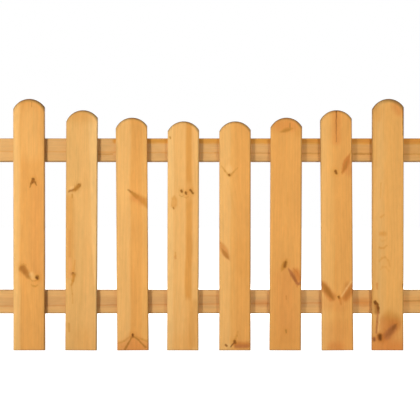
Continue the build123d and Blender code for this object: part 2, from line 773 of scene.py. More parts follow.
    def _edges(
        self, graph: Graph, face: Socket, place: Socket, width: float, length: float
    ) -> Socket:
        """Darkens the eased edges: stain on both, and painted shade on the right and round the head.

        Args:
            graph: the material's graph.
            face: the face's colour.
            place: the place inside the timber.
            width: the timber's width, in mm.
            length: its length, in mm.

        Returns:
            The colour with the edges.
        """
        parts = graph.add("ShaderNodeSeparateXYZ", {0: place})
        across, along = parts.outputs["X"], parts.outputs["Z"]
        half = width / 2
        # Painted shade: the right edge is darker than the left, as if lit from the left
        right = graph.span(across, half - self.edge_width, half - EDGE_LINE, 0.0, self.edge_stain_shade)
        left_start = self.edge_width * LEFT_EDGE_WIDTH - half
        left = graph.span(across, left_start, -half, 0.0, self.edge_stain_shade * LEFT_EDGE_SOAK)
        amount = graph.math("MAXIMUM", left, right)
        if self.round_headed:
            radius = self.head_roundness * width
            above = graph.math("MAXIMUM", graph.math("SUBTRACT", along, length - radius), 0.0)
            from_centre = graph.add("ShaderNodeCombineXYZ", {0: across, 2: above}).outputs[0]
            out = graph.measure("LENGTH", from_centre)
            round_head = graph.span(out, radius - self.head_stain_shade_reach, radius - EDGE_LINE)
            # Painted shade: the head's rim is darker on its right side than on its left
            sides = (PALE_RIM_END * half, DARK_RIM_START * half)
            side = graph.span(across, *sides, PALE_RIM * self.rim, self.rim)
            amount = graph.math("MAXIMUM", amount, graph.math("MULTIPLY", round_head, side))
        return graph.mix(amount, face, graph.tint(face, EASED_TINT))

    def _end_grain(self, graph: Graph, face: Socket, eased: Socket, turn: float) -> Socket:
        """Draws sawn ends darker than the face: more stain soaks in, and shade is painted on the head's rim.

        Args:
            graph: the material's graph.
            face: the face's colour.
            eased: the colour with the eased edges.
            turn: how far the grain is turned about Y from straight up, in radians.

        Returns:
            The whole timber's colour.
        """
        normal = graph.add("ShaderNodeNewGeometry").outputs["Normal"]
        facing = graph.measure("DOT_PRODUCT", normal, (math.sin(turn), 0.0, math.cos(turn)))
        # Partly painted shade: the dark on the head's rim is deeper than stain alone would make it
        amount = graph.span(graph.math("ABSOLUTE", facing), SAWN_START, SAWN_END, 0.0, self.rim)
        return graph.mix(amount, eased, graph.tint(face, SAWN_TINT))

    def _surface(self, graph: Graph, colour: Socket, grain: bpy.types.Node, cover: Cover) -> None:
        """Makes the surface: colour, a satin that the fibres break up, and a fine relief.

        Args:
            graph: the material's graph.
            colour: the whole timber's colour.
            grain: the grain's node.
            cover: each mark with its node.
        """
        fibre = grain.outputs["Fibre"]
        relief = graph.math("MULTIPLY_ADD", fibre, FIBRE_RELIEF, grain.outputs["Latewood"])
        for mark, node in cover:
            if mark.kind is MarkKind.KNOT:
                relief = graph.math("MULTIPLY_ADD", node.outputs["Amount"], KNOT_RELIEF, relief)
        inputs = {"Height": relief, "Distance": self.relief * MM, "Strength": RELIEF_STRENGTH}
        bump = graph.add("ShaderNodeBump", inputs)
        rough = graph.math("MULTIPLY_ADD", fibre, SATIN_SPREAD, self.roughness - SATIN_SPREAD / 2)
        inputs = {
            "Base Color": colour,
            "Roughness": rough,
            "Specular IOR Level": self.gloss,
            "Normal": bump.outputs[0],
        }
        graph.show(graph.add("ShaderNodeBsdfPrincipled", inputs))


@dataclass(frozen=True)
class PlatedSteel:
    """The finish of the screws: steel with a yellow zinc plate, dulled in patches and finely scratched."""

    bright: Colour = (0.80, 0.66, 0.36, 1.0)
    dull: Colour = (0.46, 0.36, 0.20, 1.0)
    roughness: float = 0.32
    roughness_spread: float = 0.3
    patches: Noise = Noise((400.0, 400.0, 400.0), 3.0, 0.6)
    patch_range: tuple[float, float] = (0.35, 0.7)
    scratches: Noise = Noise((3600.0, 720.0, 3600.0))
    scratch_depth: float = 0.04 * MM
    scratch_strength: float = 0.6

    def material(self, name: str) -> bpy.types.Material:
        """Makes the material.

        Args:
            name: its name.

        Returns:
            The material.
        """
        material = bpy.data.materials.new(name)
        graph = empty_graph(material)
        place = graph.add("ShaderNodeTexCoord").outputs["Object"]
        patches = graph.noise(place, self.patches).outputs[0]
        colour = graph.mix(graph.span(patches, *self.patch_range), self.bright, self.dull)
        spread = self.roughness_spread
        rough = graph.math("MULTIPLY_ADD", patches, spread, self.roughness - spread / 2)
        inputs = {
            "Height": graph.noise(place, self.scratches).outputs[0],
            "Distance": self.scratch_depth,
            "Strength": self.scratch_strength,
        }
        bump = graph.add("ShaderNodeBump", inputs)
        inputs = {
            "Base Color": colour,
            "Metallic": 1.0,
            "Roughness": rough,
            "Normal": bump.outputs[0],
        }
        graph.show(graph.add("ShaderNodeBsdfPrincipled", inputs))
        return material


# Each board's own finish, from left to right
PICKET_TIMBERS = (
    Timber(
        bands=(
            (-50, Tone.PALE), (-32, Tone.STRAW), (-26, Tone.AMBER), (14, Tone.AMBER),
            (50, Tone.AMBER),
        ),
        marks=(
            cloud((0, 740), (4, 640), 34, Tone.STRAW, 0.5),
            cloud((26, 520), (24, 260), 20, Tone.RUDDY, 0.3),
            cloud((-26, 270), (-22, 250), 12, Tone.GOLD, 0.5),
            cloud((10, 70), (10, 0), 30, Tone.AMBER, 0.5),
            knot((13, 545), (11, 535), 4.6, Tone.BARK, 0.95, 2.6),
            *trail(((11, 540), (6, 530), (3, 519)), (3.4, 1.4), Tone.KNOT, 0.85),
            *trail(((13, 541), (19, 535), (23, 526)), (3.8, 2.0), Tone.KNOT, 0.85),
            streak((-20, 260), (-2, 237), (12.0, 8.5), Tone.CLAY, 0.85, 5.0),
            streak((-22, 262), (-12, 248), (7.0, 5.0), Tone.KNOT, 0.55, 5.0),
            *trail(((0, 230), (10, 222), (22, 222)), (2.0, 2.0), Tone.BRONZE, 0.6),
            cloud((9, 242), (14, 232), 7, Tone.PALE, 0.7),
            knot((25, 234), (27, 229), 6.4, Tone.CLAY, 0.9, 3.4),
            knot((25, 231), (26, 229), 4.2, Tone.BARK, 0.9, 2.8),
            *trail(((8, 209), (14, 205), (20, 204), (27, 208)), (2.2, 2.2), Tone.BRONZE, 0.7, 3.2),
            *trail(((-28, 268), (-18, 275), (-8, 271)), (1.4, 1.4), Tone.BRONZE, 0.5),
            streak((8, 789), (9, 774), (1.0, 0.8), Tone.KNOT, 0.7, 1.4),
        ),
        pith=(-12.0, 38.0),
        seed=1.3,
        shade=0.955,
        foot_shade=1.0,
        rim=1.0,
        head_stain_shade_reach=12.0,
    ),
    Timber(
        bands=(
            (-50, Tone.WHEAT), (-8, Tone.WHEAT), (4, Tone.STRAW), (30, Tone.STRAW),
            (36, Tone.PALE), (50, Tone.PALE),
        ),
        marks=(
            cloud((-20, 750), (20, 750), 24, Tone.GOLD, 0.5),
            cloud((-38, 480), (-34, 240), 13, Tone.GOLD),
            streak((-38, 381), (-38, 291), (1.6, 2.0), Tone.RUDDY, 0.7, 3.0),
            knot((-9, 525), (-21, 512), 5.4, Tone.BARK, 0.95, 2.6),
            leaf((-4, 530), (-30, 504), 8.0, Tone.BRONZE, 0.7),
            streak((-28, 512), (-40, 506), (3.4, 3.4), Tone.KNOT, 0.8, 2.8),
            cloud((-30, 520), (-34, 516), 4, Tone.PALE, 0.7),
            streak((-31, 495), (-31, 486), (2.6, 2.0), Tone.BRONZE),
            knot((-27, 244), (-25, 241), 4.6, Tone.BARK),
            streak((-32, 243), (-22, 242), (4.6, 5.4), Tone.CLAY, 0.7, 4.0),
            streak((-21, 286), (-25, 254), (2.2, 3.0), Tone.GOLD),
            *trail(((-24, 238), (-26, 222), (-31, 208)), (4.6, 3.0), Tone.BRONZE, 0.9, 3.4),
            *trail(((-31, 204), (-28, 180), (-27, 150)), (2.2, 1.8), Tone.BRONZE, 0.5, 3.0),
            cloud((-36, 290), (-36, 235), 5, Tone.PEACH),
            streak((-39, 84), (-38, 60), (3.4, 2.6), Tone.BRONZE, 0.6, 3.0),
            *trail(((36, 748), (38, 700), (34, 640)), (2.4, 2.0), Tone.PALE, 0.6),
            cloud((10, 40), (10, 0), 34, Tone.AMBER, 0.35),
        ),
        pith=(22.0, 46.0),
        slant=0.045,
        seed=2.1,
        shade=0.95,
        foot_shade=0.98,
    ),
    Timber(
        bands=(
            (-50, Tone.STRAW), (-12, Tone.STRAW), (-4, Tone.AMBER), (28, Tone.AMBER),
            (33, Tone.HONEY), (50, Tone.HONEY),
        ),
        marks=(
            cloud((4, 486), (32, 472), 11, Tone.RUDDY, 0.55),
            streak((-14, 511), (14, 489), (2.4, 6.0), Tone.KNOT, 0.8, 3.4),
            streak((2, 498), (50, 468), (6.0, 15.0), Tone.BRONZE, 0.6, 6.0),
            streak((12, 490), (34, 476), (4.0, 7.0), Tone.RUSSET, 0.5, 5.0),
            streak((30, 476), (48, 462), (3.6, 7.0), Tone.BRONZE, 0.55, 3.4),
            cloud((-44, 8), (44, 8), 20, Tone.FOXY, 0.55),
            cloud((0, 30), (0, 6), 22, Tone.RUDDY),
            *trail(((-8, 44), (-28, 30), (-44, 24)), (2.2, 3.2), Tone.BRONZE, 0.55, 3.4),
            *trail(((8, 44), (30, 36), (46, 30)), (2.2, 3.2), Tone.BRONZE, 0.55, 3.4),
            knot((0, 50), (0, 45), 4.2, Tone.BARK, 0.95, 2.4),
            *trail(((-3, 44), (-14, 22), (-25, 4)), (2.2, 3.4), Tone.CLAY, 0.95, 2.6),
            *trail(((4, 44), (18, 34), (40, 11)), (1.8, 2.8), Tone.CLAY, 0.9, 2.6),
        ),
        pith=(-4.0, 30.0),
        seed=3.4,
        foot_shade=0.98,
    ),
    Timber(
        bands=(
            (-50, Tone.PALE), (-34, Tone.PALE), (-29, Tone.STRAW), (4, Tone.STRAW),
            (12, Tone.GOLD), (24, Tone.GOLD), (32, Tone.STRAW), (50, Tone.STRAW),
        ),
        marks=(
            cloud((12, 150), (8, 0), 15, Tone.STRAW, 0.7),
            cloud((36, 150), (34, 20), 11, Tone.GOLD, 0.5),
            cloud((10, 512), (12, 500), 22, Tone.STRAW, 0.4),
            knot((-6, 508), (-4, 504), 3.9, Tone.KNOT, 0.95, 2.4),
            *trail(((-12, 494), (-5, 489), (2, 494)), (1.4, 1.4), Tone.BRONZE, 0.55),
            knot((8, 502), (9, 498), 3.9, Tone.KNOT, 0.95, 2.4),
            *trail(((2, 488), (9, 484), (16, 489)), (1.4, 1.4), Tone.BRONZE, 0.5),
            knot((23, 510), (31, 500), 3.6, Tone.KNOT, 0.95, 2.4),
            cloud((-29, 480), (-29, 462), 9, Tone.GOLD),
            *trail(((-28, 490), (-34, 482), (-35, 460), (-30, 452)), (2.4, 3.0), Tone.GOLD, 0.5, 3.6),
            *trail(((-28, 490), (-23, 480), (-24, 462), (-30, 452)), (2.4, 3.0), Tone.GOLD, 0.5, 3.6),
            streak((-31, 454), (-30, 452), (2.8, 2.6), Tone.KNOT, 0.7),
            streak((-42, 678), (-41, 675), (3.0, 2.6), Tone.BRONZE, 0.85),
            streak((-25, 298), (-24, 293), (3.2, 2.8), Tone.RUSSET, 0.5, 3.0),
            streak((-24, 312), (-24, 300), (1.8, 2.4), Tone.GOLD, 0.7),
            cloud((0, 24), (0, 0), 30, Tone.AMBER, 0.4),
        ),
        pith=(16.0, 40.0),
        seed=4.2,
    ),
    Timber(
        bands=(
            (-50, Tone.STRAW), (-17, Tone.STRAW), (-12, Tone.HONEY), (10, Tone.AMBER),
            (50, Tone.AMBER),
        ),
        marks=(
            cloud((-19, 580), (-17, 572), 9, Tone.PALE),
            *trail(((-43, 585), (-32, 571), (-20, 557)), (2.4, 3.2), Tone.BRONZE, 0.55, 3.0),
            *trail(((-16, 557), (-5, 567), (8, 580)), (3.2, 1.8), Tone.BRONZE, 0.55, 3.0),
            knot((-19, 559), (-17, 555), 3.0, Tone.KNOT, 0.9),
            leaf((-50, 348), (-18, 288), 11.0, Tone.RUSSET, 0.6, 6.0),
            leaf((-42, 322), (-19, 290), 6.5, Tone.CLAY, 0.8),
            streak((4, 20), (42, 18), (8.0, 9.0), Tone.RUSSET, 0.75, 6.0),
            streak((4, 12), (38, 13), (5.6, 6.0), Tone.UMBER, 0.75, 4.4),
            *trail(((9, 60), (6, 46), (-1, 32)), (2.4, 3.2), Tone.BRONZE, 0.5, 3.6),
            knot((-1, 29), (1, 24), 4.6, Tone.KNOT, 0.95, 2.4),
            streak((-3, 24), (-14, 12), (2.4, 2.0), Tone.BARK, 0.85),
            cloud((-20, 17), (-19, 15), 3.5, Tone.PALE, 0.8),
            streak((-29, 17), (-27, 14), (3.4, 3.2), Tone.BARK, 0.85),
            cloud((20, 330), (30, 250), 20, Tone.GOLD, 0.4),
        ),
        pith=(-16.0, 36.0),
        seed=5.7,
    ),
    Timber(
        bands=((-50, Tone.HONEY), (-40, Tone.AMBER), (50, Tone.AMBER)),
        marks=(
            cloud((-24, 716), (24, 716), 18, Tone.FOXY, 0.4),
            cloud((37, 696), (36, 688), 8, Tone.GOLD, 0.85),
            leaf((-20, 695), (22, 707), 7.0, Tone.BRONZE, 0.85, 3.4),
            leaf((-10, 697), (14, 705), 3.0, Tone.CLAY, 0.6, 3.0),
            streak((12, 722), (11, 711), (1.6, 2.2), Tone.CLAY),
            streak((5, 503), (5, 458), (1.6, 1.4), Tone.GOLD, 0.7),
            cloud((0, 225), (6, 40), 34, Tone.RUDDY, 0.5),
            cloud((32, 250), (42, 228), 11, Tone.RUSSET, 0.75),
            leaf((4, 290), (-14, 252), 8.0, Tone.BRONZE, 0.8, 4.4),
            knot((0, 280), (-3, 267), 4.8, Tone.KNOT, 0.8, 3.4),
            leaf((8, 262), (40, 208), 6.4, Tone.UMBER, 0.95, 3.4),
            leaf((18, 246), (38, 213), 3.8, Tone.HAZEL, 0.7, 2.8),
            *trail(((35, 214), (41, 212), (48, 216)), (4.4, 3.4), Tone.UMBER, 0.85, 3.0),
            *trail(((24, 262), (36, 250), (42, 234)), (1.4, 1.6), Tone.RUSSET, 0.6),
            streak((36, 207), (37, 203), (2.2, 1.6), Tone.RUSSET, 0.7),
            streak((2, 174), (2, 163), (1.8, 1.4), Tone.RUSSET, 0.7),
            knot((2, 64), (2, 56), 3.2, Tone.CLAY, 0.9),
            cloud((0, 20), (0, 0), 44, Tone.GOLD, 0.5),
        ),
        pith=(2.0, 32.0),
        seed=6.1,
        foot_shade=0.97,
    ),
    Timber(
        bands=((-50, Tone.STRAW), (-14, Tone.HONEY), (-6, Tone.AMBER), (50, Tone.AMBER)),
        marks=(
            cloud((-1, 770), (-1, 668), 13, Tone.FOXY, 0.45),
            # Painted shadow: a dark line down the head crack, standing for the shade inside it
            streak((-1, 764), (-1, 664), (1.2, 0.6), Tone.BARK, 0.7, 1.6),
            knot((-4, 570), (-2, 564), 4.6, Tone.KNOT, 0.95, 2.4),
            cloud((36, 600), (40, 566), 12, Tone.RUDDY),
            *trail(((46, 637), (36, 600), (27, 580), (15, 567)), (1.4, 2.0), Tone.BRONZE, 0.75),
            leaf((40, 624), (17, 562), 10.0, Tone.RUSSET),
            leaf((34, 606), (20, 570), 5.0, Tone.CLAY, 0.7, 3.4),
            cloud((36, 205), (26, 168), 12, Tone.RUSSET),
            cloud((-40, 150), (10, 140), 20, Tone.RUDDY, 0.4),
            streak((-47, 208), (-19, 170), (13.0, 13.0), Tone.RUSSET, 0.75, 7.0),
            leaf((-52, 218), (-12, 162), 9.5, Tone.CLAY, 0.9, 5.0),
            leaf((-38, 202), (-16, 166), 5.0, Tone.KNOT, 0.5),
            streak((52, 200), (26, 168), (12.0, 9.0), Tone.RUSSET, 0.75, 7.0),
            leaf((56, 208), (22, 166), 7.0, Tone.CLAY, 0.5, 5.0),
            *trail(((44, 220), (29, 198), (14, 174)), (2.8, 2.2), Tone.PALE, 0.6, 2.8),
            knot((4, 171), (6, 166), 3.6, Tone.KNOT, 0.95, 2.4),
            streak((8, 163), (11, 148), (4.0, 3.0), Tone.RUSSET, 0.7, 4.0),
            cloud((-16, 12), (6, 12), 14, Tone.FOXY),
            cloud((0, 60), (0, 0), 40, Tone.RUDDY, 0.4),
        ),
        pith=(-2.0, 28.0),
        seed=7.9,
        shade=1.015,
        foot_shade=0.97,
    ),
    Timber(
        bands=((-50, Tone.HONEY), (-30, Tone.WHEAT), (0, Tone.HONEY), (50, Tone.HONEY)),
        marks=(
            streak((-24, 532), (-25, 486), (2.4, 2.0), Tone.GOLD, 0.6),
            streak((-24, 424), (-14, 431), (3.0, 2.0), Tone.GOLD, 0.9, 3.4),
            cloud((-23, 371), (-11, 371), 6.5, Tone.GOLD, 0.9),
            *trail(((-28, 327), (-22, 325), (-14, 326), (-5, 333)), (2.4, 2.6), Tone.GOLD, 0.9, 3.0),
            *trail(((-26, 352), (-19, 348), (-10, 350), (-4, 356)), (2.0, 2.0), Tone.GOLD, 0.35, 3.4),
            *trail(
                ((-27, 284), (-20, 294), (-10, 297), (0, 287), (6, 268)), (2.6, 2.6), Tone.GOLD, 0.7, 3.6
            ),
            *trail(((-24, 258), (-18, 266), (-8, 266), (2, 252)), (2.4, 2.4), Tone.GOLD, 0.5, 3.6),
            cloud((0, 60), (10, 30), 42, Tone.RUDDY, 0.7),
            cloud((-40, 6), (40, 6), 22, Tone.FOXY, 0.7),
            cloud((4, 108), (24, 98), 17, Tone.BRONZE),
            cloud((-8, 90), (20, 84), 18, Tone.RUSSET, 0.5),
            streak((-35, 212), (-35, 196), (2.8, 2.2), Tone.RUDDY),
            cloud((-38, 142), (-37, 122), 7, Tone.CLAY, 0.85),
            knot((-41, 153), (-40, 149), 5.6, Tone.BARK, 0.95, 3.0),
            *trail(((-40, 153), (-34, 147), (-31, 134), (-30, 119)), (3.2, 3.8), Tone.BARK, 0.9, 2.8),
            # Partly painted shade: this dark trail follows the knot crack, with the knot's own dark streak
            *trail(((-31, 120), (-34, 90), (-37, 56)), (3.2, 2.6), Tone.UMBER, 0.8, 3.0),
            # A dark line down the head's right flank: stain, and painted shade of that edge
            streak((52, 768), (52, 688), (8.5, 7.5), Tone.BARK, 0.9, 2.6),
            cloud((24, 778), (34, 760), 14, Tone.FOXY, 0.45),
            cloud((-32, 764), (-34, 740), 12, Tone.GOLD, 0.45),
            *trail(((-26, 116), (-28, 90), (-30, 60)), (2.2, 2.0), Tone.PALE, 0.5, 3.0),
            cloud((20, 80), (-10, 42), 17, Tone.RUSSET, 0.7),
            streak((18, 72), (-4, 46), (11.0, 12.0), Tone.UMBER, 0.85, 6.0),
            leaf((26, 82), (-8, 42), 8.0, Tone.HAZEL, 0.75, 5.0),
            leaf((28, 86), (12, 64), 5.4, Tone.BARK, 0.55),
            cloud((-26, 40), (-24, 38), 12, Tone.RUSSET, 0.8),
            knot((-25, 46), (-24, 36), 7.0, Tone.BARK, 0.95, 4.0),
            knot((-44, 36), (-43, 32), 6.4, Tone.UMBER, 0.95, 4.0),
            knot((49, 208), (49, 201), 3.4, Tone.BARK),
        ),
        pith=(-10.0, 34.0),
        seed=8.8,
        shade=1.01,
        foot_shade=0.97,
        rim=1.0,
        head_stain_shade_reach=15.0,
    ),
)

# Each rail's own finish, with its length along X as its height
RAIL_TIMBERS = {
    "upper_rail": Timber(
        bands=((-37.5, Tone.TAN), (37.5, Tone.TAN)),
        marks=(
            cloud((6, 1000), (6, 1361), 26, Tone.AMBER),
            streak((-29, 380), (-29, 1361), (7.0, 11.0), Tone.MARIGOLD, 0.9, 5.0),
            streak((-30, 900), (-30, 1361), (2.0, 8.0), Tone.FOXY, 0.4, 6.0),
            streak((4, 0), (9, 700), (1.6, 1.6), Tone.GOLD, 0.75, 3.0),
            streak((9, 700), (13, 1361), (1.6, 2.2), Tone.BRONZE, 0.65, 2.6),
            streak((13, 328), (13, 372), (2.0, 2.0), Tone.BRONZE, 0.7, 2.6),
            streak((13, 1145), (13, 1205), (2.2, 2.2), Tone.CLAY, 0.6, 2.6),
        ),
        pith=(10.0, 40.0),
        ring_width=4.6,
        seed=11.2,
        # Painted shade: darker at the left end than the right, evening out the key lamp that is brighter
        # there
        foot_shade=0.90,
        head_shade=0.93,
        foot_darkening=0.8,
        round_headed=False,
    ),
    "lower_rail": Timber(
        bands=(
            (-37.5, Tone.TAN), (-22, Tone.TAN), (-12, Tone.DUN), (12, Tone.DUN),
            (20, Tone.TAN), (37.5, Tone.TAN),
        ),
        marks=(
            streak((14, 0), (0, 1361), (1.8, 1.8), Tone.RUSSET, 0.5, 3.0),
            cloud((0, 1180), (0, 1361), 26, Tone.AMBER, 0.5),
            streak((-3, 1301), (-3, 1361), (1.8, 1.8), Tone.KNOT, 0.6),
            cloud((0, 1155), (2, 1180), 12, Tone.RUSSET, 0.5),
            cloud((4, 830), (4, 860), 9, Tone.RUSSET, 0.4),
            streak((-20, 652), (-20, 709), (3.0, 3.0), Tone.RUSSET, 0.3, 4.0),
        ),
        pith=(-4.0, 44.0),
        ring_width=4.8,
        seed=12.6,
        # Painted shade: darker at the left end than the right, evening out the key lamp that is brighter
        # there
        foot_shade=0.94,
        head_shade=0.98,
        foot_darkening=0.8,
        round_headed=False,
    ),
}


def deselect_all() -> None:
    """Leaves nothing selected and nothing active."""
    bpy.ops.object.select_all(action="DESELECT")
    bpy.context.view_layer.objects.active = None


def make_active(piece: bpy.types.Object) -> None:
    """Selects one piece alone and makes it the active one.

    Args:
        piece: the piece.
    """
    deselect_all()
    piece.select_set(True)
    bpy.context.view_layer.objects.active = piece


def put_in_scene(thing: bpy.types.Object) -> None:
    """Links a new object to the scene."""
    bpy.context.scene.collection.objects.link(thing)


def dress(piece: bpy.types.Object, material: bpy.types.Material) -> None:
    """Gives a piece one material, in place of what it has."""
    piece.data.materials.clear()
    piece.data.materials.append(material)


def choose_faces(piece: bpy.types.Object, test: Callable[[bmesh.types.BMFace], bool]) -> None:
    """Selects, in edit mode, only the faces that pass a test.

    Args:
        piece: the piece in edit mode.
        test: tells whether a face is one of them.
    """
    bpy.ops.mesh.select_mode(type="FACE")
    bpy.ops.mesh.select_all(action="DESELECT")
    mesh = bmesh.from_edit_mesh(piece.data)
    for face in mesh.faces:
        face.select_set(test(face))
    bmesh.update_edit_mesh(piece.data)


def choose_corners(piece: bpy.types.Object, test: Callable[[bmesh.types.BMVert], bool]) -> None:
    """Selects, in edit mode, only the corners that pass a test.

    Args:
        piece: the piece in edit mode.
        test: tells whether a corner is one of them.
    """
    bpy.ops.mesh.select_mode(type="VERT")
    bpy.ops.mesh.select_all(action="DESELECT")
    mesh = bmesh.from_edit_mesh(piece.data)
    for corner in mesh.verts:
        corner.select_set(test(corner))
    mesh.select_flush_mode()
    bmesh.update_edit_mesh(piece.data)


@dataclass(frozen=True)
class DryingCrack:
    """A crack along the grain that opened as the board dried, deepest in its middle line.

    It runs through its spots from the top down, in mm along X and Z, and is so wide at its two ends.
    """

    name: str
    spots: tuple[Spot, ...]
    widths: tuple[float, float]
    depth: float
    bottom_width: float = 0.25
    level_slack: float = 0.1

    def cutter(self, front: float) -> bpy.types.Object:
        """Makes the wedge that cuts the crack out of a board.

        Args:
            front: where the board's front face is along Y.

        Returns:
            The wedge.
        """
        (top_x, top_z), (end_x, end_z) = self.spots[0], self.spots[-1]
        deselect_all()
        bpy.ops.mesh.primitive_cube_add(size=1.0)
        wedge = bpy.context.active_object
        wedge.name = self.name
        wedge.scale = (self.widths[0] * MM, 2 * self.depth * MM, (top_z - end_z) * MM)
        wedge.location = ((top_x + end_x) / 2 * MM, front, (top_z + end_z) / 2 * MM)
        bpy.ops.object.transform_apply(location=True, rotation=True, scale=True)
        bpy.ops.object.mode_set(mode="EDIT")
        for _, height in self.spots[1:-1]:
            bpy.ops.mesh.select_all(action="SELECT")
            bpy.ops.mesh.bisect(plane_co=(0.0, 0.0, height * MM), plane_no=(0.0, 0.0, 1.0))
        middle = (top_x + end_x) / 2
        steps = len(self.spots) - 1
        for step, (x, height) in enumerate(self.spots):
            narrowed = 1 + (self.widths[1] / self.widths[0] - 1) * step / steps
            centre = (middle * MM, front, height * MM)
            choose_corners(wedge, lambda corner: self._is_level(corner, height))
            bpy.ops.transform.resize(value=(narrowed, 1.0, 1.0), center_override=centre)
            bpy.ops.transform.translate(value=((x - middle) * MM, 0.0, 0.0))
        for x, height in self.spots:
            centre = (x * MM, front, height * MM)
            choose_corners(wedge, lambda corner: corner.co.y > front and self._is_level(corner, height))
            bpy.ops.transform.resize(value=(self.bottom_width, 1.0, 1.0), center_override=centre)
        bpy.ops.mesh.select_all(action="SELECT")
        bpy.ops.mesh.normals_make_consistent(inside=False)
        bpy.ops.object.mode_set(mode="OBJECT")
        return wedge

    def _is_level(self, corner: bmesh.types.BMVert, height: float) -> bool:
        """Tells whether a corner of the wedge is at a height in mm."""
        return abs(corner.co.z - height * MM) < self.level_slack * MM

    def cut(self, board: bpy.types.Object) -> None:
        """Cuts the crack into the front of a board.

        Args:
            board: the board.
        """
        front = min(corner.co.y for corner in board.data.vertices)
        wedge = self.cutter(front)
        make_active(board)
        modifier = board.modifiers.new(self.name, "BOOLEAN")
        modifier.operation = "DIFFERENCE"
        modifier.solver = "EXACT"
        modifier.object = wedge
        bpy.ops.object.modifier_apply(modifier=modifier.name)
        bpy.data.objects.remove(wedge, do_unlink=True)


CRACKS = {
    "picket_7": DryingCrack(
        "head_crack", ((404.3, 618), (404.6, 590), (403.9, 556), (404.5, 516)), (2.4, 0.8), 9.0
    ),
    "picket_8": DryingCrack(
        "knot_crack", ((534.6, -34), (533.9, -52), (532.6, -72), (531.4, -95)), (1.0, 0.5), 3.0
    ),
}


@dataclass
class PicketRow:
    """The upright boards, from left to right."""

    count: int = 8
    foot_band: float = 5 * MM
    head_band: float = 1 * MM
    merge_gap: float = 0.001 * MM
    smooth_angle: float = math.radians(35)

    def nodes(self) -> list[bpy.types.Object]:
        """Returns the boards' own nodes, from left to right."""
        return [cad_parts[f"picket_{number}"] for number in range(1, self.count + 1)]

    def stance(self, node: bpy.types.Object) -> tuple[Vector, float, float, float]:
        """Finds how a board stands, from its own corners.

        Args:
            node: the board.

        Returns:
            The middle of its foot, its lean to +X in radians, its width and its length, in metres.
        """
        low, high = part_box(node.name)
        corners = [vertex.co for vertex in node.data.vertices]
        foot = [corner.x for corner in corners if corner.z < low.z + self.foot_band]
        head = [corner.x for corner in corners if corner.z > high.z - self.head_band]
        foot_x = (min(foot) + max(foot)) / 2
        head_x = (min(head) + max(head)) / 2
        length = high.z - low.z
        middle = Vector((foot_x, (low.y + high.y) / 2, low.z))
        return middle, math.atan2(head_x - foot_x, length), max(foot) - min(foot), length

    def cracked(self, node: bpy.types.Object, crack: DryingCrack) -> bpy.types.Object:
        """Makes the copy of a board that has a drying crack, and shows it in the board's place.

        Args:
            node: the board.
            crack: its crack.

        Returns:
            The cracked board.
        """
        board = node.copy()
        board.data = node.data.copy()
        board.name = f"cracked_{node.name}"
        put_in_scene(board)
        make_active(board)
        bpy.ops.object.mode_set(mode="EDIT")
        bpy.ops.mesh.select_all(action="SELECT")
        bpy.ops.mesh.remove_doubles(threshold=self.merge_gap)
        bpy.ops.mesh.normals_make_consistent(inside=False)
        bpy.ops.object.mode_set(mode="OBJECT")
        crack.cut(board)
        bpy.ops.mesh.customdata_custom_splitnormals_clear()
        bpy.ops.object.shade_smooth_by_angle(angle=self.smooth_angle)
        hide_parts(node.name)
        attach(board, "root")
        return board

    def build(self) -> None:
        """Cuts the cracks and gives each board its own timber."""
        for node, timber in zip(self.nodes(), PICKET_TIMBERS):
            foot, lean, width, length = self.stance(node)
            material = timber.material(f"{node.name}_wood", width / MM, length / MM, foot, lean)
            boards = [node]
            if node.name in CRACKS:
                boards.append(self.cracked(node, CRACKS[node.name]))
            for board in boards:
                dress(board, material)
            log.info("%s: %.0f mm long, leans %.2f degrees", node.name, length / MM, math.degrees(lean))


@dataclass
class RailPair:
    """The two rails behind the boards."""

    names: tuple[str, ...] = ("upper_rail", "lower_rail")

    def build(self) -> None:
        """Gives each rail its own timber, with the grain along X."""
        for name in self.names:
            low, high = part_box(name)
            end = Vector((low.x, (low.y + high.y) / 2, (low.z + high.z) / 2))
            width = (high.z - low.z) / MM
            length = (high.x - low.x) / MM
            material = RAIL_TIMBERS[name].material(f"{name}_wood", width, length, end, math.pi / 2)
            dress(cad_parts[name], material)
            log.info("%s: %.0f mm long", name, length)


